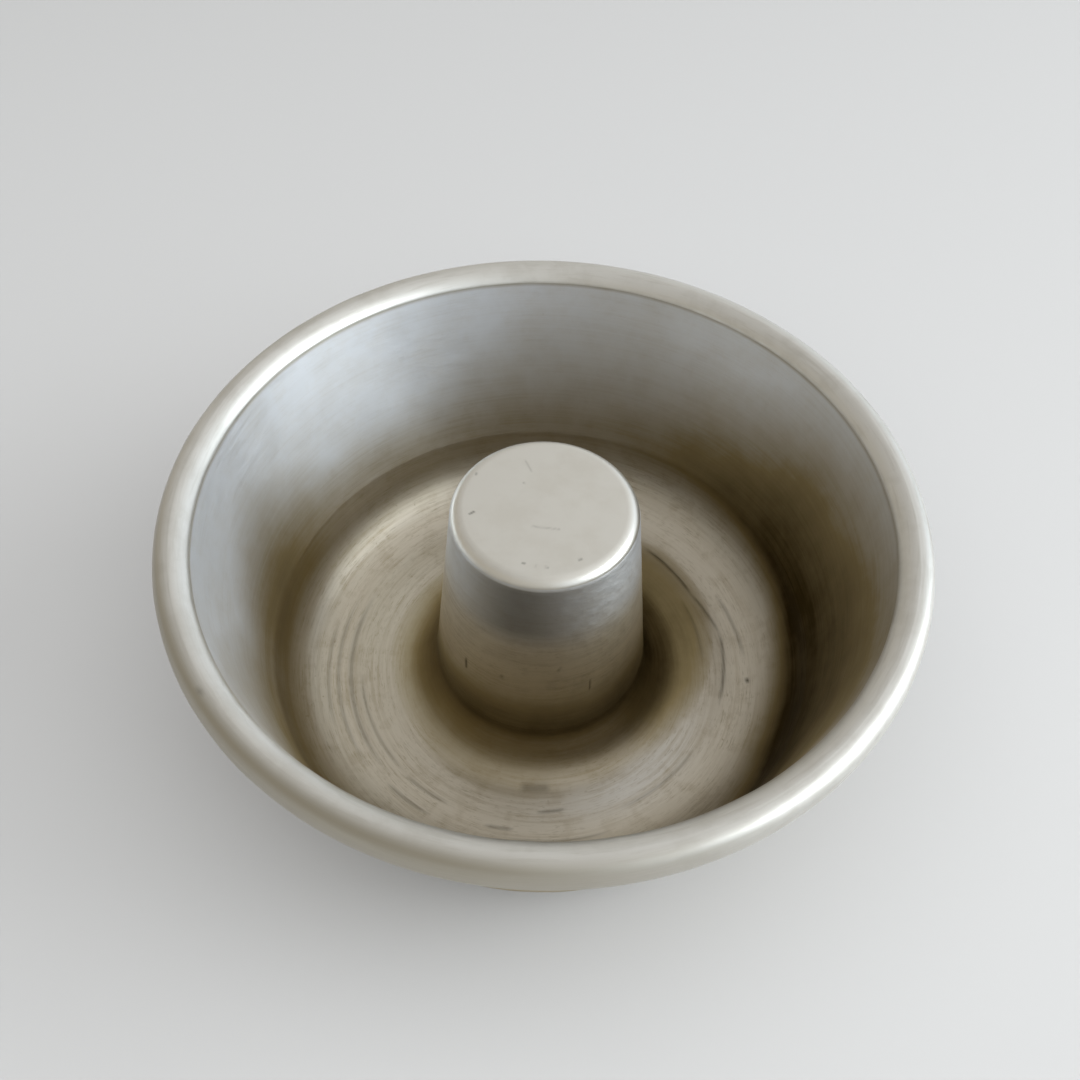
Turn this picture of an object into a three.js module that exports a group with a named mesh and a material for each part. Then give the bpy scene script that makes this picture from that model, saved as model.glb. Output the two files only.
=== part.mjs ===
// Ring cake mould in aluminium sheet: a deep round pan with a rolled rim and a closed chimney in its middle.
// Millimetres, +Z up. The origin is on the axis, at the level of the surface that the mould stands on.

import * as THREE from 'three';

// Driving dimensions: the sheet and its fits
const SHEET = 1.0; // thickness of the aluminium sheet, in the pan and in the chimney
const FIT_GAP = 0.3; // between two pieces that touch in the real mould

// Driving dimensions: the pan
const RIM_DIAMETER = 180; // across the outside of the rolled rim
const TROUGH_DEPTH = 69.1; // from the crease under the roll down to the inside floor
const WALL_LEAN = 11.5; // degrees that the wall leans out from upright
const CORNER_RADIUS = 19; // inside corner between wall and floor

// Driving dimensions: the rolled rim and the wire in it
const WIRE_DIAMETER = 5.6;
const ROLL_RISE = 3.3; // top of the roll above the crease
const ROLL_SAG = 2.0; // widest point of the roll below the crease
const ROLL_HANG = 5.2; // bottom of the roll below its widest point
const ROLL_FULLNESS = 2.6; // squareness of the roll's outer shoulder, where 2 is an ellipse
const ROLL_SLANT = 1.5; // the same for its inner shoulder, which slopes up from the crease
const CURL_END = 222; // degrees, where the curled edge stops short of the wall

// Driving dimensions: the chimney
const CHIMNEY_HEIGHT = 69.4; // from the inside floor to the flat top
const CHIMNEY_TOP_DIAMETER = 44.8; // where the lines of side and top would meet
const CHIMNEY_LEAN = 6.0; // degrees that the side leans in from upright
const SHOULDER_RADIUS = 3.4; // between the side and the flat top
const FOOT_RADIUS = 12; // hollow round from the floor up into the side
const COLLAR_LAND = 2.0; // straight part of the floor's collar above the foot round
const NECK_LENGTH = 2.6; // over which the side draws in to pass inside the collar
const FLARE_LIFT = 1.0; // flared edge of the skirt above the standing surface

// Fineness
const TURNS = 48; // flats around the axis

// Angles in radians, and the places that follow from the driving dimensions
const wallLean = THREE.MathUtils.degToRad(WALL_LEAN);
const sideLean = THREE.MathUtils.degToRad(CHIMNEY_LEAN);

const floorTop = SHEET;
const creaseHeight = floorTop + TROUGH_DEPTH;
const chimneyTop = floorTop + CHIMNEY_HEIGHT;

const rollHalf = WIRE_DIAMETER / 2 + FIT_GAP + SHEET;
const rollCentre = RIM_DIAMETER / 2 - rollHalf;
const rollMiddle = creaseHeight - ROLL_SAG;
const creaseRadius = rollCentre - rollHalf;
const wallFootRadius = creaseRadius - TROUGH_DEPTH * Math.tan(wallLean);

const chimneyTopRadius = CHIMNEY_TOP_DIAMETER / 2;
const chimneyFootRadius = chimneyTopRadius + CHIMNEY_HEIGHT * Math.tan(sideLean);

// How far the centre of a round stands from the corner where its two lines meet, along the level line
const setback = (radius, lean) => (radius * (1 - Math.sin(lean))) / Math.cos(lean);

const corner = new THREE.Vector2(wallFootRadius - setback(CORNER_RADIUS, wallLean), floorTop + CORNER_RADIUS);
const foot = new THREE.Vector2(chimneyFootRadius + setback(FOOT_RADIUS, sideLean), floorTop + FOOT_RADIUS);
const shoulder = new THREE.Vector2(
  chimneyTopRadius - setback(SHOULDER_RADIUS, sideLean),
  chimneyTop - SHOULDER_RADIUS,
);
const collarTop = foot.y - FOOT_RADIUS * Math.sin(sideLean) + COLLAR_LAND;

// Points of an elliptical arc about a centre in the (radius, height) plane, both ends included, in degrees.
// A fullness above 2 makes the arc squarer, and one below 2 makes it flatter.
function arc(centre, across, up, from, to, steps, fullness = 2) {
  const swell = (share) => Math.sign(share) * Math.abs(share) ** (2 / fullness);
  const points = [];
  for (let i = 0; i <= steps; i += 1) {
    const angle = THREE.MathUtils.degToRad(from + ((to - from) * i) / steps);
    const x = centre.x + across * swell(Math.cos(angle));
    const y = centre.y + up * swell(Math.sin(angle));
    points.push(new THREE.Vector2(x, y));
  }
  return points;
}

// Point of the chimney's side at a height, set inwards by a depth that is measured square to the side
function sidePoint(height, depth) {
  const radius = chimneyTopRadius + (chimneyTop - height) * Math.tan(sideLean);
  return new THREE.Vector2(radius - depth / Math.cos(sideLean), height);
}

// Face of the pan's sheet that lies at a depth below the surface one sees, from the collar to the curled edge
function panFace(depth) {
  const upperRoll = new THREE.Vector2(rollCentre, creaseHeight);
  const lowerRoll = new THREE.Vector2(rollCentre, rollMiddle);
  const half = rollHalf - depth;
  const footRadius = FOOT_RADIUS + depth;
  const cornerRadius = CORNER_RADIUS + depth;
  return [
    sidePoint(collarTop, depth),
    ...arc(foot, footRadius, footRadius, 180 + CHIMNEY_LEAN, 270, 6),
    ...arc(corner, cornerRadius, cornerRadius, 270, 360 - WALL_LEAN, 8),
    ...arc(upperRoll, half, ROLL_RISE - depth, 180, 90, 4, ROLL_SLANT),
    ...arc(lowerRoll, half, ROLL_SAG + ROLL_RISE - depth, 90, 0, 5, ROLL_FULLNESS).slice(1),
    ...arc(lowerRoll, half, ROLL_HANG - depth, 360, CURL_END, 6).slice(1),
  ];
}

// Outer face of the chimney, from the middle of its top to the flared edge of its skirt
function chimneyOutside() {
  const seam = collarTop + FIT_GAP;
  const skirtDepth = SHEET + FIT_GAP;
  return [
    new THREE.Vector2(0, chimneyTop),
    ...arc(shoulder, SHOULDER_RADIUS, SHOULDER_RADIUS, 90, CHIMNEY_LEAN, 5),
    sidePoint(seam, 0),
    sidePoint(seam, skirtDepth),
    ...flare(FOOT_RADIUS + skirtDepth),
  ];
}

// Inner face of the chimney, from under the middle of its top to the flared edge of its skirt
function chimneyInside() {
  const seam = collarTop + FIT_GAP;
  const skirtDepth = 2 * SHEET + FIT_GAP;
  const shoulderRadius = SHOULDER_RADIUS - SHEET;
  return [
    new THREE.Vector2(0, chimneyTop - SHEET),
    ...arc(shoulder, shoulderRadius, shoulderRadius, 90, CHIMNEY_LEAN, 5),
    sidePoint(seam + NECK_LENGTH, SHEET),
    sidePoint(seam, skirtDepth),
    ...flare(FOOT_RADIUS + skirtDepth),
  ];
}

// Flare of the skirt, which follows the foot round from underneath and stops above the standing surface
function flare(radius) {
  const lowest = FOOT_RADIUS + 2 * SHEET + FIT_GAP;
  const end = 180 + THREE.MathUtils.radToDeg(Math.asin((foot.y - FLARE_LIFT) / lowest));
  return arc(foot, radius, radius, 180 + CHIMNEY_LEAN, end, 4);
}

// Solid of revolution about Z. The outline runs anticlockwise in the (radius, height) plane.
function turned(name, outline, material) {
  const geometry = new THREE.LatheGeometry(outline, TURNS);
  geometry.rotateX(Math.PI / 2);
  const mesh = new THREE.Mesh(geometry, material);
  mesh.name = name;
  return mesh;
}

function makePanBody() {
  const hidden = panFace(SHEET);
  const seen = panFace(0).reverse();
  const material = new THREE.MeshStandardMaterial({ color: 0xb5b0a3, roughness: 0.42, metalness: 1 });
  return turned('pan_body', [...hidden, ...seen, hidden[0].clone()], material);
}

function makeChimney() {
  const outline = [...chimneyInside(), ...chimneyOutside().reverse()];
  const material = new THREE.MeshStandardMaterial({ color: 0xb9b5ab, roughness: 0.38, metalness: 1 });
  return turned('centre_chimney', outline, material);
}

function makeRimWire() {
  const centre = new THREE.Vector2(rollCentre, rollMiddle);
  const outline = arc(centre, WIRE_DIAMETER / 2, WIRE_DIAMETER / 2, 0, 360, 12);
  const material = new THREE.MeshStandardMaterial({ color: 0x8e9194, roughness: 0.5, metalness: 1 });
  return turned('rim_wire', outline, material);
}

const mould = new THREE.Group();
mould.name = 'ring_cake_mould';
mould.add(makePanBody(), makeChimney(), makeRimWire());

export default mould;
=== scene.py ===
"""Looks of the ring cake mould: fine turned sheet, worn satin aluminium, a pale table and soft light."""

import math

import bpy
import numpy as np
from mathutils import Matrix, Vector


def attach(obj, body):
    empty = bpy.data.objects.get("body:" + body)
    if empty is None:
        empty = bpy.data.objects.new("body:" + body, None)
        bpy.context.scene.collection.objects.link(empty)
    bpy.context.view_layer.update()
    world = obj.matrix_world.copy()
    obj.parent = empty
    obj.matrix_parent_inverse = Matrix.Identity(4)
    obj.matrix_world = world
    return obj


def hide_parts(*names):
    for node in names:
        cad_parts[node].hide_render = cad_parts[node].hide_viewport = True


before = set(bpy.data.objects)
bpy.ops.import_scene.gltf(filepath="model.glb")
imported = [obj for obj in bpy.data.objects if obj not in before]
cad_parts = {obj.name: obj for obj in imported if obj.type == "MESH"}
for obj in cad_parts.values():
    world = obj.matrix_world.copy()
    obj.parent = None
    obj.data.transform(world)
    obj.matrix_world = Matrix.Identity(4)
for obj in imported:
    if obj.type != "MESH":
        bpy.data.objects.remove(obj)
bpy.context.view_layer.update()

MM = 0.001
SEED = 7

# Sizes of the mould in millimetres and degrees, the same as in the solids
SHEET = 1.0
FIT_GAP = 0.3
RIM_DIAMETER = 180.0
TROUGH_DEPTH = 69.1
WALL_LEAN = 11.5
CORNER_RADIUS = 19.0
WIRE_DIAMETER = 5.6
ROLL_RISE = 3.3
ROLL_SAG = 2.0
ROLL_HANG = 5.2
ROLL_FULLNESS = 2.6
ROLL_SLANT = 1.5
CURL_END = 222.0
CHIMNEY_HEIGHT = 69.4
CHIMNEY_TOP_DIAMETER = 44.8
CHIMNEY_LEAN = 6.0
SHOULDER_RADIUS = 3.4
FOOT_RADIUS = 12.0
COLLAR_LAND = 2.0
NECK_LENGTH = 2.6
FLARE_LIFT = 1.0

# Fineness of the turned surfaces: flats round the axis, and steps along the profile in millimetres
PAN_TURNS = 304
CHIMNEY_TURNS = 512
SEEN_STEP = 0.5
SIDE_STEP = 1.0  # on straight stretches that rise by more than SIDE_RISE
SIDE_RISE = 20.0
HIDDEN_STEP = 3.0
EDGE = 0.04  # from each end of a straight stretch to a point that keeps the shading flat up to there
ON_AXIS = 1e-6  # a ring smaller than this is one point

# Turned grooves in millimetres, as whole rings and part rings
GROOVE_SPACING = 1.3
GROOVE_DEPTH = 0.014
GROOVE_SHARE = (0.2, 1.0)  # least and most of the depth
GROOVE_HALF_WIDTH = (0.5, 1.0)
GROOVE_REACH = (0.3, 4.0)  # radians to either side, where more than half a turn is a whole ring
GROOVE_FADE = 0.4  # radians over which a part ring ends

# Slight waves of the sheet in millimetres
WAVE_COUNT = 16
WAVE_HEIGHT = 0.1
WAVE_LOBES = (4, 44)  # fewest lobes round the axis, and the number that is never reached
WAVE_TWIST = 0.15  # radians for each millimetre along the profile, at most
WAVE_INNER = 40.0  # radius where the waves begin, which is half of that where they are full

# Height above the start of the shoulder where the finish of the top begins, as a share of its radius
TOP_FINISH = 0.4

# The photograph's view: a square frame, its focal length in pixels, and where the rim's centre lies in it
FRAME_PIXELS = 1080
FOCAL_PIXELS = 1080
SENSOR = 36.0
VIEW_ELEVATION = 52.195
VIEW_ROLL = 1.7503
VIEW_DISTANCE = 253.93
RIM_CENTRE_PIXEL = (545.255, 507.372)

# Places that follow from the sizes
wall_lean = math.radians(WALL_LEAN)
side_lean = math.radians(CHIMNEY_LEAN)
floor_top = SHEET
crease_height = floor_top + TROUGH_DEPTH
chimney_top = floor_top + CHIMNEY_HEIGHT
roll_half = WIRE_DIAMETER / 2 + FIT_GAP + SHEET
roll_centre = RIM_DIAMETER / 2 - roll_half
roll_middle = crease_height - ROLL_SAG
crease_radius = roll_centre - roll_half
wall_foot_radius = crease_radius - TROUGH_DEPTH * math.tan(wall_lean)
chimney_top_radius = CHIMNEY_TOP_DIAMETER / 2
chimney_foot_radius = chimney_top_radius + CHIMNEY_HEIGHT * math.tan(side_lean)


def setback(radius, lean):
    """Level distance from the corner of two lines to the centre of the round between them."""
    return radius * (1 - math.sin(lean)) / math.cos(lean)


corner = (wall_foot_radius - setback(CORNER_RADIUS, wall_lean), floor_top + CORNER_RADIUS)
foot = (chimney_foot_radius + setback(FOOT_RADIUS, side_lean), floor_top + FOOT_RADIUS)
shoulder = (chimney_top_radius - setback(SHOULDER_RADIUS, side_lean), chimney_top - SHOULDER_RADIUS)
collar_top = foot[1] - FOOT_RADIUS * math.sin(side_lean) + COLLAR_LAND
shoulder_split = shoulder[1] + TOP_FINISH * SHOULDER_RADIUS


def swell(share, fullness):
    """Sine or cosine of a squarer or flatter ellipse, where a fullness of 2 changes nothing."""
    return math.copysign(abs(share) ** (2 / fullness), share)


def arc(centre, across, up, start, stop, step, fullness=2.0):
    """Points of an elliptical arc in the (radius, height) plane, both ends included, about a step apart."""
    length = math.radians(abs(stop - start)) * max(across, up)
    count = max(4, math.ceil(length / step))
    angles = np.radians(np.linspace(start, stop, count + 1))
    return [
        (centre[0] + across * swell(math.cos(a), fullness), centre[1] + up * swell(math.sin(a), fullness))
        for a in angles
    ]


def side_point(height, depth):
    """Point of the chimney's side at a height, set inwards by a depth square to the side."""
    radius = chimney_top_radius + (chimney_top - height) * math.tan(side_lean)
    return (radius - depth / math.cos(side_lean), height)


def pan_face(depth, step):
    """One face of the pan's sheet, from the collar at the chimney to the curled edge."""
    half = roll_half - depth
    upper, lower = (roll_centre, crease_height), (roll_centre, roll_middle)
    foot_radius, corner_radius = FOOT_RADIUS + depth, CORNER_RADIUS + depth
    return [
        side_point(collar_top, depth),
        *arc(foot, foot_radius, foot_radius, 180 + CHIMNEY_LEAN, 270, step),
        *arc(corner, corner_radius, corner_radius, 270, 360 - WALL_LEAN, step),
        *arc(upper, half, ROLL_RISE - depth, 180, 90, step, ROLL_SLANT),
        *arc(lower, half, ROLL_SAG + ROLL_RISE - depth, 90, 0, step, ROLL_FULLNESS)[1:],
        *arc(lower, half, ROLL_HANG - depth, 360, CURL_END, step)[1:],
    ]


def flare(radius, step):
    """Flare of the chimney's skirt under the foot round."""
    lowest = FOOT_RADIUS + 2 * SHEET + FIT_GAP
    end = 180 + math.degrees(math.asin((foot[1] - FLARE_LIFT) / lowest))
    return arc(foot, radius, radius, 180 + CHIMNEY_LEAN, end, step)


def chimney_outside(step):
    """Outer face of the chimney, which meets the collar without a gap, as no seam is seen there."""
    skirt = SHEET + FIT_GAP
    return [
        (0.0, chimney_top),
        *arc(shoulder, SHOULDER_RADIUS, SHOULDER_RADIUS, 90, CHIMNEY_LEAN, step / 2),
        side_point(collar_top, 0),
        side_point(collar_top, skirt),
        *flare(FOOT_RADIUS + skirt, step),
    ]


def chimney_inside(step):
    """Inner face of the chimney, from under its top to the flared edge of its skirt."""
    seam = collar_top + FIT_GAP
    skirt = 2 * SHEET + FIT_GAP
    inner = SHOULDER_RADIUS - SHEET
    return [
        (0.0, chimney_top - SHEET),
        *arc(shoulder, inner, inner, 90, CHIMNEY_LEAN, step / 2),
        side_point(seam + NECK_LENGTH, SHEET),
        side_point(seam, skirt),
        *flare(FOOT_RADIUS + skirt, step),
    ]


def refined(points, step):
    """The same line with points a step apart, fewer on long sides, and one close to each end of a stretch."""
    fine = [np.array(points[0], float)]
    for a, b in zip(points, points[1:]):
        a, b = np.array(a, float), np.array(b, float)
        length = np.linalg.norm(b - a)
        apart = max(step, SIDE_STEP) if abs(b[1] - a[1]) > SIDE_RISE else step
        shares = np.linspace(0, 1, max(1, math.ceil(length / apart)) + 1)[1:]
        if length > step:
            shares = np.sort([*shares, EDGE / length, 1 - EDGE / length])
        fine += [a + (b - a) * share for share in shares]
    return fine


# Baked-on stain and painted shade round the wall: azimuth, height where it begins, greatest darkness, and
# height where it ends
# The painted shade makes it darkest and highest on the right, where the wall faces away from the window, and
# in the corner
WALL_STAIN_AND_SHADE = (
    (0, 8.5, 1.0, 79), (24, 13, 0.9, 71), (48, 16, 0.6, 60), (72, 16, 0.34, 62), (96, 15, 0.32, 64),
    (120, 10, 0.28, 40), (144, 8, 0.22, 37), (168, 10.5, 0.56, 60), (192, 8, 0.44, 44), (216, 7.5, 0.5, 80),
    (270, 7, 0.7, 80), (312, 9.5, 0.9, 95), (336, 6, 1.0, 100),
)
WALL_RING = 24.0  # height of the darkest ring
WALL_SOFT = 8.0  # millimetres over which the stain begins
# Painted shade along the crease under the roll: its darkness, and its half width in millimetres
CREASE_SHADE = 0.3
CREASE_HALF_WIDTH = 0.8
# Stain round the chimney's foot, with the chimney's painted shadow reaching furthest behind it on the right:
# azimuth, darkness, and the radius where it ends
FOOT_STAIN_AND_SHADOW = (
    (0, 0.95, 49), (24, 0.97, 54), (48, 0.93, 56), (100, 0.75, 44), (168, 0.66, 43.5), (216, 0.56, 41),
    (250, 0.46, 43), (270, 0.4, 42.5), (285, 0.35, 40.6), (312, 0.4, 40.6), (336, 0.72, 44),
)
FOOT_FADE = (14.0, 22.0)  # heights between which it fades out up the chimney's side
# Darkness of the ring round the chimney's foot, and up its side by height: baked-on stain, with painted shade
# in the concave round
FOOT_RING = 0.72
CHIMNEY_STAIN_AND_SHADE = (
    (4, 0.0), (12, FOOT_RING), (14, FOOT_RING), (19, 0.64), (24, 0.42), (30, 0.24), (36, 0.17),
    (44, 0.15), (50, 0.06), (56, 0.02), (66, 0.0),
)
# Soft patches: azimuth, half width in degrees and strength
SIDE_BROWN = (300.0, 55.0, 0.25)  # brown on the chimney's side
FRONT_SHADE = (257.0, 30.0, 0.58)  # painted shade on the front of the chimney under its shoulder
TOP_DIRT = (205.0, 65.0, 1.7)  # dirt round the edge of the chimney's top
LIT_CRESCENT = (304.0, 34.0, 0.45)  # painted light: a lighter crescent on the floor in front of the chimney
FLOOR_FILM = (176.0, 45.0, 0.09)  # thin film on the floor
# Where those patches lie, in millimetres, and how dull the chimney's side is away from the brown
SIDE_EVEN = 0.75
FRONT_SHADE_LOWEST = 46.0
FRONT_SHADE_RISE = 7.0  # height over which the painted shade grows to its full strength
FRONT_SHADE_END = 0.8  # height above the start of the shoulder where it ends
FRONT_SHADE_SOFT = 0.6  # height over which it ends
DIRT_HALF_WIDTH = 0.8
BRIGHT_RADIUS = 44.5
BRIGHT_HALF_WIDTH = 6.0
FILM_HIGHEST = 4.0
# Painted shade line on the front of the chimney, just below its shoulder: strength, and millimetres
SHOULDER_SHADE_LINE = 0.22
SHADE_LINE_BELOW = 0.4
SHADE_LINE_HALF_WIDTH = 0.35
# How far the colour has gone from bright wall to dull floor, by height
WALL_DULL = ((1, 1.0), (9, 0.9), (20, 0.5), (36, 0.0))
CHIMNEY_DULL = ((1, 1.0), (14, 1.0), (34, 0.9), (46, 0.7), (54, 0.2), (64, 0.1))
# Stain and dullness by height on the faces that look down, the pan's outside and the chimney's inside:
# baked-on stain, with painted shade on the pan's low outside wall seen under the rim
OUTSIDE_STAIN_AND_SHADE = ((0, 0.3), (14, 0.38), (30, 0.28), (55, 0.14), (70, 0.08))
OUTSIDE_DULL = ((0, 1.0), (20, 0.85), (50, 0.5), (70, 0.4))
# Patina and painted shade on the outside of the roll: azimuth where they are strongest, how quickly they
# fade, and their inner edge
PATINA_SHADE_SIDE = 235.0
PATINA_SHADE_FOCUS = 1.3
PATINA_SHADE_INSIDE = 1.2  # millimetres inside the middle of the roll

# Scratches, nicks and baked-on specks: both ends in millimetres, half width, depth and darkness
MARKS = (
    ((-17.5, -2.9, chimney_top), (-16.7, -2.2, chimney_top), 0.25, 0.04, 0.7),
    ((-5.3, 7.1, chimney_top), (-5.1, 7.1, chimney_top), 0.25, 0.03, 0.3),
    ((-16.9, 9.3, chimney_top), (-16.8, 9.8, chimney_top), 0.25, 0.03, 0.4),
    ((7.9, -15.3, chimney_top), (8.5, -15.0, chimney_top), 0.25, 0.04, 0.5),
    ((-4.8, -16.7, chimney_top), (-4.3, -16.9, chimney_top), 0.22, 0.03, 0.5),
    ((-1.9, -17.5, chimney_top), (-1.7, -17.5, chimney_top), 0.2, 0.03, 0.4),
    ((0.4, -17.6, chimney_top), (1.0, -17.7, chimney_top), 0.22, 0.03, 0.45),
    ((-2.9, -6.0, chimney_top), (3.4, -6.7, chimney_top), 0.25, 0.02, 0.2),
    ((-5.1, 14.2, chimney_top), (-3.6, 11.0, chimney_top), 0.25, 0.02, 0.2),
    ((-18.8, -18.7, 31.4), (-18.9, -19.2, 28.6), 0.35, 0.05, 1.0),
    ((12.6, -23.3, 31.1), (12.7, -23.7, 27.3), 0.25, 0.03, 0.7),
    ((-9.3, -24.5, 33.2), (-9.5, -24.5, 33.6), 0.5, 0.03, 0.4),
    ((4.5, -25.3, 38.6), (4.9, -25.3, 39.2), 0.4, 0.03, 0.4),
    ((58.6, -5.2, 2.2), (58.6, -4.8, 2.2), 0.5, 0.12, 0.95),
    ((-68.9, -53.6, 73.2), (-68.4, -54.0, 73.2), 0.6, 0.1, 0.3),
    ((-70.2, -56.0, 68.0), (-69.9, -56.6, 66.5), 0.6, 0.1, 0.3),
)

# A score fades in and out over one part in this many of its length, and only lies on sheet that faces up
SCORE_FADE = 5
FACES_UP = 0.7  # least upward part of the normal
# Scores round the floor: azimuth and radius of both ends, half width, depth and darkness
SCORES = (
    (54, 52.6, 28, 51.2, 0.4, 0.06, 0.75),
    (30, 51.2, 12, 53.4, 0.4, 0.04, 0.5),
    (14, 53.6, -14, 51.6, 0.4, 0.05, 0.6),
    (30, 47.6, 2, 46.8, 0.5, 0.04, 0.3),
    (26, 57.4, 2, 58.4, 0.5, 0.04, 0.35),
    (158, 57.2, 218, 56.6, 0.5, 0.04, 0.35),
    (155, 53.8, 222, 53.2, 0.6, 0.05, 0.4),
    (186, 50.4, 226, 49.8, 0.4, 0.04, 0.35),
    (168, 59.4, 204, 59.6, 0.5, 0.04, 0.3),
    (224, 55.2, 240, 54.6, 0.4, 0.05, 0.45),
    (226, 50.2, 243, 49.6, 0.4, 0.04, 0.4),
    (255, 51.2, 264, 50.8, 0.4, 0.05, 0.5),
    (270, 45.6, 280, 45.2, 0.4, 0.05, 0.5),
    (262, 53.4, 292, 53.8, 0.4, 0.04, 0.35),
    (296, 49.0, 330, 49.8, 0.4, 0.04, 0.3),
    (263, 38.8, 276, 38.8, 1.1, 0.06, 0.4),
)


def by_table(table, value):
    """Value of a table of (place, value) pairs, straight between them."""
    places, values = zip(*table)
    return np.interp(value, places, values)


def on_roll(radius, height):
    """Whether a place on the profile belongs to the rolled rim."""
    return height > crease_height or radius > crease_radius + SHEET


def around(table, angles):
    """Columns of a table by azimuth in degrees, straight between its rows."""
    azimuth, *columns = zip(*table)
    return [np.interp(np.degrees(angles), azimuth, column, period=360) for column in columns]


def wall_stain_and_shade(height, angles):
    """Darkness of the wall's baked-on staining and painted shade, and of the painted shade in the crease, all
    round the axis.
    """
    begins, ring, ends = around(WALL_STAIN_AND_SHADE, angles)
    rise = np.clip((height - begins + WALL_SOFT / 2) / WALL_SOFT, 0, 1)
    fall = np.clip((ends - height) / (ends - WALL_RING), 0, 1)
    crease = CREASE_SHADE * max(0, 1 - abs(crease_height - height) / CREASE_HALF_WIDTH)
    return np.maximum(ring * rise * fall, crease)


def foot_stain_and_shadow(radius, angles):
    """Darkness of the staining and of the chimney's painted shadow round its foot, all round the axis."""
    dark, reach = around(FOOT_STAIN_AND_SHADOW, angles)
    return dark * np.clip((reach - radius) / (reach - foot[0] + FOOT_RADIUS), 0, 1) ** 0.5


def bell(apart, half):
    """Soft hump that is 1 in the middle and about a third at its half width."""
    return np.exp(-((apart / half) ** 2))


def patch(place, angles):
    """Strength of a soft patch all round the axis."""
    azimuth, half, strength = place
    apart = (np.degrees(angles) - azimuth + 180) % 360 - 180
    return strength * bell(apart, half)


def soil_and_shade(radius, height, angles, seen):
    """(staining with painted shade, dullness with painted light and shade, painted shade on the chimney's
    front) of the sheet at a place on the profile, all round the axis.
    """
    even = np.ones(len(angles))
    none = 0 * even
    if on_roll(radius, height):
        # Brown patina and painted shade on the outside of the roll, strongest on the front left, away from
        # the window
        side = np.maximum(np.cos(angles - math.radians(PATINA_SHADE_SIDE)), 0) ** PATINA_SHADE_FOCUS
        return none, np.clip((radius - roll_centre + PATINA_SHADE_INSIDE) / roll_half, 0, 1) * side, none
    if not seen:
        return by_table(OUTSIDE_STAIN_AND_SHADE, height) * even, by_table(OUTSIDE_DULL, height) * even, none
    film = patch(FLOOR_FILM, angles) * (height < FILM_HIGHEST)
    # Painted light: the floor is made less dull in a crescent in front of the chimney
    worn = patch(LIT_CRESCENT, angles) * bell(radius - BRIGHT_RADIUS, BRIGHT_HALF_WIDTH)
    if radius > (corner[0] + foot[0]) / 2:
        stain_and_shade = np.maximum.reduce([wall_stain_and_shade(height, angles), foot_stain_and_shadow(radius, angles), film])
        return stain_and_shade, by_table(WALL_DULL, height) * (1 - worn), none
    if height > shoulder_split:
        dirt = patch(TOP_DIRT, angles) * bell(radius - shoulder[0], DIRT_HALF_WIDTH)
        return dirt, np.clip((radius - shoulder[0]) / SHOULDER_RADIUS * 2, 0, 1) * even, none
    ring = by_table(CHIMNEY_STAIN_AND_SHADE, height) * even
    if height < foot[1]:
        return np.maximum.reduce([foot_stain_and_shadow(radius, angles), ring, film]), 1 - worn, none
    fade = np.clip((FOOT_FADE[1] - height) / (FOOT_FADE[1] - FOOT_FADE[0]), 0, 1)
    stain_and_shade = np.maximum(foot_stain_and_shadow(radius, angles) * fade, ring)
    # Painted shade on the front of the chimney's side up to its shoulder, and a painted shade line under the
    # shoulder
    painted_shade = patch(FRONT_SHADE, angles) * np.clip((height - FRONT_SHADE_LOWEST) / FRONT_SHADE_RISE, 0, 1)
    painted_shade *= np.clip((shoulder[1] + FRONT_SHADE_END - height) / FRONT_SHADE_SOFT, 0, 1)
    front = np.maximum(-np.sin(angles), 0)
    line = SHOULDER_SHADE_LINE * bell(height - shoulder[1] + SHADE_LINE_BELOW, SHADE_LINE_HALF_WIDTH) * front
    dull = by_table(CHIMNEY_DULL, height) * (SIDE_EVEN + patch(SIDE_BROWN, angles))
    return stain_and_shade, dull, np.maximum(painted_shade, line)


def turning_marks(run, angles, rng):
    """Shallow turned grooves, whole rings and part rings, in millimetres below the surface."""
    depth = np.zeros((len(run), len(angles)))
    for centre in np.arange(0, run[-1], GROOVE_SPACING):
        middle = centre + rng.uniform(0, GROOVE_SPACING)
        ring = bell(run - middle, rng.uniform(*GROOVE_HALF_WIDTH))
        apart = np.abs((angles - rng.uniform(0, 2 * math.pi) + math.pi) % (2 * math.pi) - math.pi)
        part = np.clip((rng.uniform(*GROOVE_REACH) - apart) / GROOVE_FADE, 0, 1)
        depth += rng.uniform(*GROOVE_SHARE) * GROOVE_DEPTH * np.outer(ring, part)
    return depth


def handling_waves(run, angles, rng):
    """Slight unevenness of sheet that has been spun, beaten and handled, in millimetres."""
    lift = np.zeros((len(run), len(angles)))
    for lobes in rng.integers(*WAVE_LOBES, WAVE_COUNT):
        phase = rng.uniform(0, 2 * math.pi) + run * rng.uniform(-WAVE_TWIST, WAVE_TWIST)
        lift += np.cos(lobes * angles + phase[:, None])
    return lift * WAVE_HEIGHT / WAVE_COUNT


def use_marks(points):
    """(depth, darkness) of scratches, nicks and specks at each point."""
    depth, dark = np.zeros(points.shape[:2]), np.zeros(points.shape[:2])
    for start, stop, half, deep, shade in MARKS:
        start, way = np.array(start), np.array(stop) - np.array(start)
        share = np.clip((points - start) @ way / (way @ way), 0, 1)
        gap = np.linalg.norm(points - start - share[..., None] * way, axis=2)
        near = bell(gap, half)
        depth += deep * near
        dark = np.maximum(dark, shade * near)
    return depth, dark


def floor_scores(points, angles):
    """(depth, darkness) of long scores round the floor at each point."""
    depth, dark = np.zeros(points.shape[:2]), np.zeros(points.shape[:2])
    radius = np.linalg.norm(points[..., :2], axis=2)
    for start, start_radius, stop, stop_radius, half, deep, shade in SCORES:
        share = ((np.degrees(angles) - start + 180) % 360 - 180) / (stop - start)
        fade = np.clip(SCORE_FADE * np.minimum(share, 1 - share), 0, 1)
        gap = radius - start_radius - (stop_radius - start_radius) * share
        near = fade * bell(gap, half)
        depth += deep * near
        dark = np.maximum(dark, shade * near)
    return depth, dark


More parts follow.
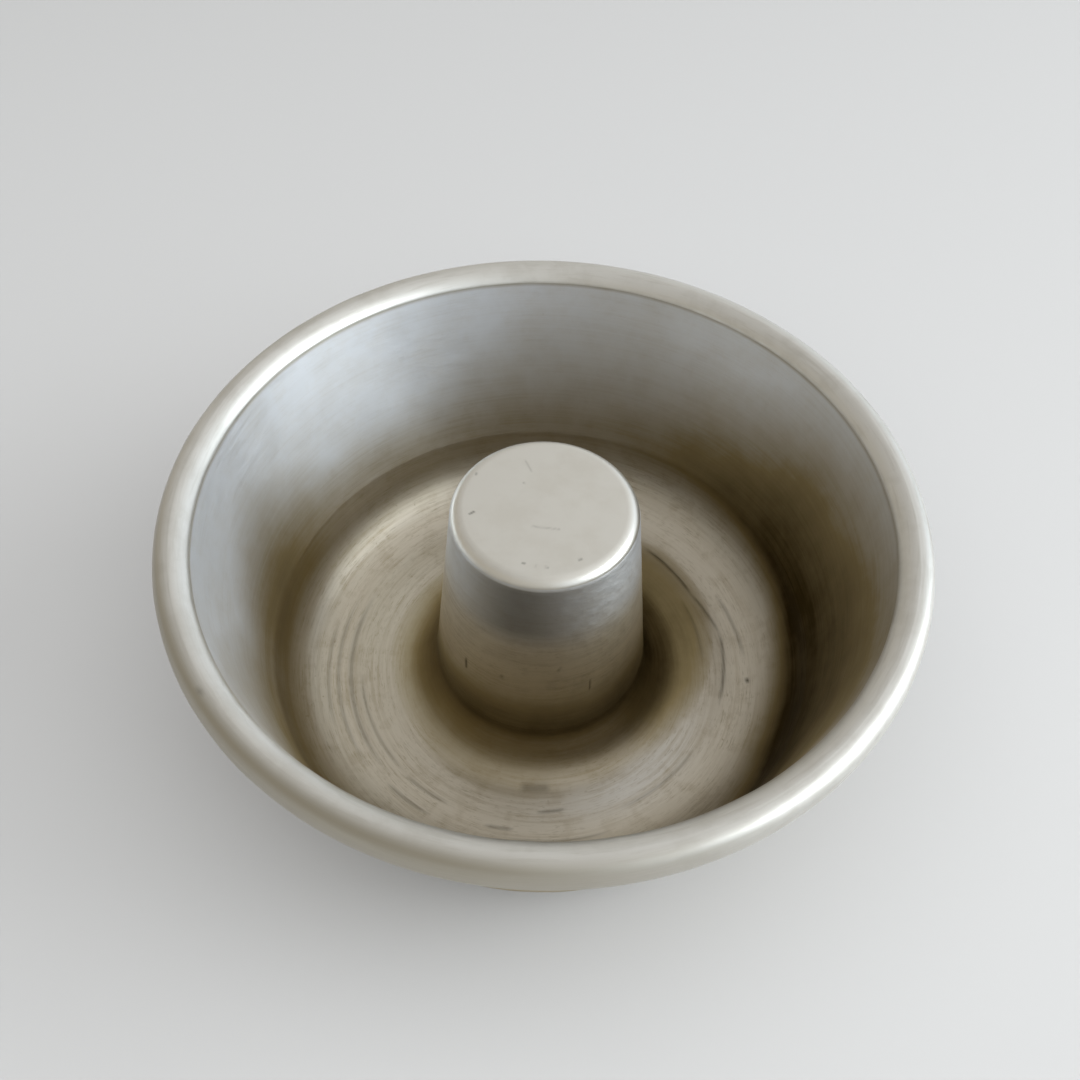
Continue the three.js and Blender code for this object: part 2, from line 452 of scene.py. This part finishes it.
def swept(outline, way, faces_up, turns):
    """(points in metres, fields for the materials) of an uneven outline turned about Z, with marks, staining
    and painted shade.
    """
    rng = np.random.default_rng(SEED)
    run = np.concatenate([[0], np.cumsum(np.linalg.norm(np.diff(outline, axis=0), axis=1))])
    angles = np.linspace(0, 2 * math.pi, turns, endpoint=False)
    outward = np.stack([np.cos(angles), np.sin(angles), np.zeros(turns)], -1)
    upward = np.array([0, 0, 1])
    points = outline[:, 0, None, None] * outward + outline[:, 1, None, None] * upward
    normals = way[:, 1, None, None] * outward - way[:, 0, None, None] * upward
    mark_depth, mark_dark = use_marks(points)
    score_depth, score_dark = np.array(floor_scores(points, angles)) * (normals[..., 2] > FACES_UP)
    grooves = turning_marks(run, angles, rng)
    wide = np.clip((outline[:, :1] - WAVE_INNER) / WAVE_INNER, 0, 1)
    sunk = grooves + mark_depth + score_depth - wide * handling_waves(run, angles, rng)
    points = (points - sunk[..., None] * normals) * MM
    points[..., 2] = np.maximum(points[..., 2], 0)
    soiled_and_shaded = [soil_and_shade(*place, angles, up) for place, up in zip(outline, faces_up)]
    stain_and_shade, dull, painted_shade = np.array(soiled_and_shaded).transpose(1, 0, 2)
    # Darkness of the marks, together with the painted shade on the chimney's front
    dark = np.maximum.reduce([mark_dark, score_dark, painted_shade])
    return points, {"run": np.repeat(run[:, None], turns, 1), "stain_and_shade": stain_and_shade, "dull": dull, "mark_and_shade": dark}


def turned(name, outline, closed, metal_of, turns):
    """Smooth solid of revolution about Z from an anticlockwise outline in millimetres."""
    outline = np.array(outline)
    way = np.gradient(outline, axis=0)
    way /= np.linalg.norm(way, axis=1)[:, None]
    faces_up = way[:, 0] < 0
    points, fields = swept(outline, way, faces_up, turns)
    vertices, rings, kept = [], [], []
    for i, radius in enumerate(outline[:, 0]):
        count = 1 if radius < ON_AXIS else turns
        rings.append([len(vertices) + k % count for k in range(turns)])
        vertices += points[i, :count].tolist()
        kept += [(i, k) for k in range(count)]
    pairs = list(zip(range(len(rings)), range(1, len(rings))))
    if closed:
        pairs.append((len(rings) - 1, 0))
    faces, metals = [], []
    for a, b in pairs:
        low, high = rings[a], rings[b]
        metal = metal_of((outline[a] + outline[b]) / 2, faces_up[a])
        for i in range(turns):
            j = (i + 1) % turns
            faces.append(list(dict.fromkeys((low[i], low[j], high[j], high[i]))))
            metals.append(metal)
    mesh = bpy.data.meshes.new(name)
    mesh.from_pydata(vertices, [], faces)
    rows, columns = np.array(kept).T
    for key, field in fields.items():
        values = np.ascontiguousarray(field[rows, columns], np.float32)
        mesh.attributes.new(key, "FLOAT", "POINT").data.foreach_set("value", values)
    mesh.polygons.foreach_set("use_smooth", [True] * len(mesh.polygons))
    mesh.polygons.foreach_set("material_index", metals)
    mesh.update()
    piece = bpy.data.objects.new(name, mesh)
    bpy.context.scene.collection.objects.link(piece)
    return piece


def pan_metal(place, seen):
    """Slot of the pan's metal: 0 inside up to the centre of the corner, 2 on the rolled rim, 1 elsewhere."""
    if on_roll(*place):
        return 2
    return int(not seen or (place[0] > corner[0] and place[1] > corner[1]))


def chimney_metal(place, seen):
    """Slot of the chimney's metal: 1 on its flat top and the upper part of the shoulder, 0 elsewhere."""
    return int(seen and place[1] > shoulder_split)


def make_pan():
    hidden = refined(pan_face(SHEET, HIDDEN_STEP), HIDDEN_STEP)
    seen = refined(pan_face(0, SEEN_STEP), SEEN_STEP)
    return turned("pan_sheet", [*hidden, *seen[::-1]], True, pan_metal, PAN_TURNS)


def make_chimney():
    inside = refined(chimney_inside(HIDDEN_STEP), HIDDEN_STEP)
    outside = refined(chimney_outside(SEEN_STEP), SEEN_STEP)
    return turned("chimney_cup", [*inside, *outside[::-1]], False, chimney_metal, CHIMNEY_TURNS)


def make_wire():
    section = arc((roll_centre, roll_middle), WIRE_DIAMETER / 2, WIRE_DIAMETER / 2, 0, 360, SEEN_STEP)
    return turned("wire_ring", section[:-1], True, lambda place, seen: 0, PAN_TURNS)


class Graph:
    """Small helper that adds and links shader nodes."""

    def __init__(self, tree):
        self.tree = tree

    def node(self, kind, **values):
        made = self.tree.nodes.new(kind)
        for key, value in values.items():
            setattr(made, key, value)
        return made

    def link(self, source, target):
        if isinstance(source, (int, float, tuple)):
            target.default_value = source
        else:
            self.tree.links.new(source, target)

    def math(self, operation, a, b=0.0):
        made = self.node("ShaderNodeMath", operation=operation)
        self.link(a, made.inputs[0])
        self.link(b, made.inputs[1])
        return made.outputs[0]

    def attribute(self, name):
        return self.node("ShaderNodeAttribute", attribute_name=name).outputs["Fac"]

    def mix(self, factor, a, b):
        made = self.node("ShaderNodeMix", data_type="RGBA")
        self.link(factor, made.inputs["Factor"])
        self.link(a, made.inputs["A"])
        self.link(b, made.inputs["B"])
        return made.outputs["Result"]

    def spread(self, value, low, high, to_low, to_high):
        """Value brought from one range to another, softly at both ends."""
        made = self.node("ShaderNodeMapRange", interpolation_type="SMOOTHSTEP")
        for socket, number in zip(made.inputs, (value, low, high, to_low, to_high)):
            self.link(number, socket)
        return made.outputs[0]

    def level(self, value, low, high):
        """Value brought from a range to 0 to 1, in a straight line."""
        made = self.node("ShaderNodeMapRange")
        for socket, number in zip(made.inputs, (value, low, high)):
            self.link(number, socket)
        return made.outputs[0]

    def place(self):
        """Point in the piece's own metres."""
        return self.node("ShaderNodeTexCoord").outputs["Object"]

    def round_place(self, along, around):
        """Point for textures that run round the axis: slow round it, quick along the profile."""
        level = self.node("ShaderNodeVectorMath", operation="MULTIPLY")
        self.link(self.place(), level.inputs[0])
        level.inputs[1].default_value = (1, 1, 0)
        unit = self.node("ShaderNodeVectorMath", operation="NORMALIZE")
        self.link(level.outputs[0], unit.inputs[0])
        apart = self.node("ShaderNodeSeparateXYZ")
        self.link(unit.outputs[0], apart.inputs[0])
        joined = self.node("ShaderNodeCombineXYZ")
        self.link(self.math("MULTIPLY", apart.outputs[0], around), joined.inputs[0])
        self.link(self.math("MULTIPLY", apart.outputs[1], around), joined.inputs[1])
        self.link(self.math("MULTIPLY", self.attribute("run"), along), joined.inputs[2])
        return joined.outputs[0]

    def noise(self, place, scale=1.0, detail=3.0, roughness=0.5):
        made = self.node("ShaderNodeTexNoise")
        self.link(place, made.inputs["Vector"])
        made.inputs["Scale"].default_value = scale
        made.inputs["Detail"].default_value = detail
        made.inputs["Roughness"].default_value = roughness
        return made.outputs["Fac"]


# Wear shows on bright metal too: the dullness at which it would be gone
WEAR_GONE = -0.12
# Turn of the anisotropy, as a share of a full turn
ACROSS = 0.25

# Colours of the metal, of what has settled on it, and of the painted shade mixed in with the stain and marks
BRIGHT = (0.805, 0.83, 0.865, 1)
DULL = (0.63, 0.575, 0.48, 1)
SIDE_DULL = (0.68, 0.575, 0.39, 1)
TARNISH = (0.5, 0.44, 0.345, 1)
SCORED = (0.36, 0.31, 0.22, 1)
FILM_AND_SHADE_COLOUR = (0.33, 0.262, 0.138, 1)
STAIN_AND_SHADE_COLOUR = (0.055, 0.033, 0.003, 1)
RIM = (0.71, 0.695, 0.655, 1)
RIM_DULL = (0.6, 0.58, 0.53, 1)
# Brown of the patina and painted shade outside the roll
RIM_BROWN = (0.42, 0.39, 0.325, 1)
TOP = (0.76, 0.74, 0.685, 1)
TOP_DULL = (0.68, 0.65, 0.585, 1)
GRIME_AND_SHADE_COLOUR = (0.05, 0.04, 0.022, 1)
STEEL = (0.5, 0.5, 0.5, 1)
STEEL_DULL = (0.35, 0.34, 0.33, 1)


def new_metal(name):
    """(material, graph, shader) of a new metal."""
    material = bpy.data.materials.new(name)
    material.use_nodes = True
    shader = material.node_tree.nodes["Principled BSDF"]
    shader.inputs["Metallic"].default_value = 1.0
    return material, Graph(material.node_tree), shader


def brush(g, shader, anisotropy):
    """Draws the gloss out across marks that run round the axis."""
    shader.inputs["Anisotropic"].default_value = anisotropy
    shader.inputs["Anisotropic Rotation"].default_value = ACROSS
    tangent = g.node("ShaderNodeTangent", direction_type="RADIAL", axis="Z")
    g.link(tangent.outputs[0], shader.inputs["Tangent"])


def relief(g, shader, height, strength, depth):
    """Fine bumps from a texture, with their depth in millimetres."""
    bump = g.node("ShaderNodeBump")
    bump.inputs["Strength"].default_value = strength
    bump.inputs["Distance"].default_value = depth * MM
    g.link(height, bump.inputs["Height"])
    g.link(bump.outputs[0], shader.inputs["Normal"])


def trough_metal(name, smoothest, roughest, anisotropy, aged):
    """Aged sheet inside the mould, brushed round the axis, with scoring, staining, painted shade and specks.
    """
    material, g, shader = new_metal(name)
    streaks = g.noise(g.round_place(1.0, 1.3), 1.0, 6.0, 0.65)
    fine = g.noise(g.round_place(6.0, 9.0), 1.0, 2.0)
    lines = g.noise(g.round_place(1.7, 1.6), 1.0, 2.0)
    cloud = g.noise(g.place(), 75.0, 5.0, 0.62)
    blotch = g.noise(g.place(), 180.0, 4.0, 0.6)
    pits = g.noise(g.place(), 800.0, 2.0)
    dashes = g.noise(g.round_place(3.2, 16.0), 1.0, 3.0, 0.6)
    dull = g.attribute("dull")
    wear = g.level(dull, WEAR_GONE, 1.0)
    ground = g.mix(dull, g.mix(g.spread(cloud, 0.35, 0.7, 0.0, 0.16), BRIGHT, DULL), aged)
    worn = g.math("MULTIPLY", g.spread(streaks, 0.44, 0.66, 0.0, 0.85), g.spread(cloud, 0.3, 0.65, 0.25, 1.0))
    worn = g.math("ADD", worn, g.spread(blotch, 0.5, 0.7, 0.0, 0.45))
    ground = g.mix(g.math("MULTIPLY", worn, wear), ground, TARNISH)
    scratch = g.spread(g.math("ABSOLUTE", g.math("SUBTRACT", lines, 0.5)), 0.0, 0.012, 0.8, 0.0)
    scratch = g.math("MULTIPLY", scratch, g.spread(blotch, 0.48, 0.6, 0.0, 1.0))
    pitted = g.math("MULTIPLY", g.spread(pits, 0.68, 0.76, 0.0, 0.7), g.spread(cloud, 0.45, 0.6, 0.0, 1.0))
    dashed = g.math("MULTIPLY", g.spread(dashes, 0.54, 0.68, 0.0, 0.6), g.spread(cloud, 0.35, 0.6, 0.2, 1.0))
    scored = g.math("MAXIMUM", dashed, g.math("MAXIMUM", scratch, pitted))
    scored = g.math("MULTIPLY", scored, wear)
    ground = g.mix(scored, ground, SCORED)
    uneven = g.math("ADD", g.math("MULTIPLY", streaks, 0.55), g.math("MULTIPLY", cloud, 0.9))
    # Staining together with the painted shade of the wall, the corners and the chimney's foot
    stain_and_shade = g.math("MULTIPLY", g.attribute("stain_and_shade"), g.spread(uneven, 0.4, 1.05, 0.88, 1.12))
    ground = g.mix(g.level(stain_and_shade, 0.0, 0.5), ground, FILM_AND_SHADE_COLOUR)
    ground = g.mix(g.level(stain_and_shade, 0.5, 1.0), ground, STAIN_AND_SHADE_COLOUR)
    g.link(g.mix(g.attribute("mark_and_shade"), ground, GRIME_AND_SHADE_COLOUR), shader.inputs["Base Color"])
    g.link(g.spread(fine, 0.3, 0.7, smoothest, roughest), shader.inputs["Roughness"])
    brush(g, shader, anisotropy)
    relief(g, shader, fine, 0.12, 0.02)
    return material


def rim_metal():
    """Duller sheet of the rolled rim, smeared and blotched, with brown patina and painted shade outside."""
    material, g, shader = new_metal("rim_metal")
    fine = g.noise(g.round_place(3.0, 8.0), 1.0, 3.0)
    smears = g.noise(g.round_place(0.9, 7.0), 1.0, 5.0, 0.6)
    blotch = g.noise(g.place(), 120.0, 4.0, 0.6)
    ground = g.mix(g.spread(blotch, 0.45, 0.7, 0.0, 0.5), RIM, RIM_DULL)
    ground = g.mix(g.spread(smears, 0.48, 0.7, 0.0, 0.6), ground, RIM_DULL)
    ground = g.mix(g.spread(g.attribute("dull"), 0.1, 0.9, 0.0, 1.0), ground, RIM_BROWN)
    g.link(g.mix(g.attribute("mark_and_shade"), ground, GRIME_AND_SHADE_COLOUR), shader.inputs["Base Color"])
    g.link(g.spread(fine, 0.3, 0.7, 0.38, 0.48), shader.inputs["Roughness"])
    brush(g, shader, 0.2)
    relief(g, shader, fine, 0.08, 0.02)
    return material


def top_metal():
    """Pale, fine-grained top of the chimney, with dirt round its edge."""
    material, g, shader = new_metal("top_metal")
    blotch = g.noise(g.place(), 110.0, 4.0)
    grain = g.noise(g.place(), 1500.0, 2.0)
    ground = g.mix(g.spread(blotch, 0.4, 0.7, 0.0, 0.5), TOP, TOP_DULL)
    crumbs = g.spread(g.noise(g.place(), 300.0, 3.0), 0.45, 0.6, 0.0, 1.0)
    ground = g.mix(g.math("MULTIPLY", g.attribute("stain_and_shade"), crumbs), ground, STAIN_AND_SHADE_COLOUR)
    g.link(g.mix(g.attribute("mark_and_shade"), ground, GRIME_AND_SHADE_COLOUR), shader.inputs["Base Color"])
    worn = g.spread(g.attribute("dull"), 0.0, 1.0, 0.0, 0.08)
    g.link(g.math("SUBTRACT", g.spread(blotch, 0.3, 0.7, 0.4, 0.48), worn), shader.inputs["Roughness"])
    relief(g, shader, grain, 0.1, 0.02)
    return material


def wire_steel():
    """Grey steel of the wire in the roll."""
    material, g, shader = new_metal("wire_steel")
    fine = g.noise(g.round_place(3.0, 8.0), 1.0, 3.0)
    g.link(g.mix(fine, STEEL, STEEL_DULL), shader.inputs["Base Color"])
    g.link(g.spread(fine, 0.3, 0.7, 0.4, 0.55), shader.inputs["Roughness"])
    brush(g, shader, 0.3)
    return material


floor_sheet = trough_metal("floor_sheet", 0.42, 0.5, 0.0, DULL)
wall_sheet = trough_metal("wall_sheet", 0.45, 0.54, 0.65, DULL)
side_sheet = trough_metal("side_sheet", 0.4, 0.5, 0.68, SIDE_DULL)
for piece, node, slot, metals in (
    (make_pan(), "pan_body", "aged_aluminium", (floor_sheet, wall_sheet, rim_metal())),
    (make_chimney(), "centre_chimney", "chimney_aluminium", (side_sheet, top_metal())),
    (make_wire(), "rim_wire", "wire_steel", (wire_steel(),)),
):
    for metal in metals:
        piece.data.materials.append(metal)
    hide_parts(node)
    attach(piece, "root")

# The table in metres: its size, and how far it lies under the mould so that no two faces fall together
TABLE_SIZE = 6.0
TABLE_GAP = 0.0002
TABLE_COLOUR = (0.36, 0.36, 0.36, 1)
TABLE_ROUGHNESS = 0.6


def make_table():
    bpy.ops.mesh.primitive_plane_add(size=TABLE_SIZE, location=(0, 0, -TABLE_GAP))
    table = bpy.context.object
    table.name = "table"
    material = bpy.data.materials.new("pale_table")
    material.use_nodes = True
    shader = material.node_tree.nodes["Principled BSDF"]
    shader.inputs["Base Color"].default_value = TABLE_COLOUR
    shader.inputs["Roughness"].default_value = TABLE_ROUGHNESS
    table.data.materials.append(material)


def make_light(name, place, aim, size, power, colour, shines=True):
    """Rectangular lamp aimed at a point, in metres and watts. One that doesn't shine has no reflection."""
    data = bpy.data.lights.new(name, "AREA")
    data.shape = "RECTANGLE"
    data.size, data.size_y = size
    data.energy = power
    data.color = colour
    lamp = bpy.data.objects.new(name, data)
    lamp.location = place
    lamp.visible_glossy = shines
    lamp.rotation_euler = (Vector(aim) - Vector(place)).to_track_quat("-Z", "Y").to_euler()
    bpy.context.scene.collection.objects.link(lamp)


# Colours of the room: its walls from the dim left over the middle to the bright right, and its ceiling
ROOM_WALLS = ((0.0, (0.5, 0.47, 0.41, 1)), (0.5, (0.6, 0.585, 0.55, 1)), (1.0, (1.15, 1.25, 1.35, 1)))
ROOM_CEILING = ((0.52, 0.51, 0.49, 1), (0.83, 0.83, 0.82, 1))


def make_world():
    """Soft room: dim brown walls on the left and behind, a bright cool side on the right, a pale ceiling."""
    world = bpy.data.worlds.new("soft_room")
    world.use_nodes = True
    g = Graph(world.node_tree)
    apart = g.node("ShaderNodeSeparateXYZ")
    g.link(g.node("ShaderNodeTexCoord").outputs["Generated"], apart.inputs[0])
    walls = g.node("ShaderNodeValToRGB")
    walls.color_ramp.elements.new(0.5)
    for element, (position, colour) in zip(walls.color_ramp.elements, ROOM_WALLS):
        element.position, element.color = position, colour
    g.link(g.spread(apart.outputs["X"], -1.0, 1.0, 0.0, 1.0), walls.inputs[0])
    height = g.math("ADD", apart.outputs["Z"], g.math("MULTIPLY", apart.outputs["Y"], 0.15))
    ceiling = g.mix(g.spread(apart.outputs["X"], -0.6, 0.6, 0.0, 1.0), *ROOM_CEILING)
    room = g.mix(g.spread(height, 0.5, 0.8, 0.0, 1.0), walls.outputs[0], ceiling)
    g.link(room, world.node_tree.nodes["Background"].inputs["Color"])
    bpy.context.scene.world = world


def make_camera():
    """Camera of the photograph's view, with the rim's centre at its pixel."""
    elevation, roll = math.radians(VIEW_ELEVATION), math.radians(VIEW_ROLL)
    back = Vector((0, -math.cos(elevation), math.sin(elevation)))
    level, rise = Vector((1, 0, 0)), Vector((0, math.sin(elevation), math.cos(elevation)))
    right = math.cos(roll) * level + math.sin(roll) * rise
    up = -math.sin(roll) * level + math.cos(roll) * rise
    middle = FRAME_PIXELS / 2
    across = (RIM_CENTRE_PIXEL[0] - middle) / FOCAL_PIXELS * VIEW_DISTANCE
    down = (RIM_CENTRE_PIXEL[1] - middle) / FOCAL_PIXELS * VIEW_DISTANCE
    place = Vector((0, 0, crease_height)) + VIEW_DISTANCE * back - across * right + down * up
    data = bpy.data.cameras.new("photo_camera")
    data.sensor_width = SENSOR
    data.lens = SENSOR * FOCAL_PIXELS / FRAME_PIXELS
    data.clip_start = 0.01
    camera = bpy.data.objects.new("photo_camera", data)
    turn = Matrix((right, up, back)).transposed().to_4x4()
    camera.matrix_world = Matrix.Translation(place * MM) @ turn
    bpy.context.scene.collection.objects.link(camera)
    bpy.context.scene.camera = camera


make_table()
make_world()
make_light("window", (1.16, -0.25, 0.62), (0, 0, 0.05), (1.1, 0.65), 9.6, (0.92, 0.98, 1.0))
make_light("fill", (-0.05, -0.45, 1.4), (0, 0, 0), (2.2, 2.2), 30.5, (0.985, 0.99, 1.0), shines=False)
make_light("side_fill", (1.35, 0.1, 0.9), (0, 0, 0), (1.0, 1.0), 14.0, (0.985, 0.99, 1.0), shines=False)
make_camera()
bpy.context.scene.view_settings.view_transform = "Standard"
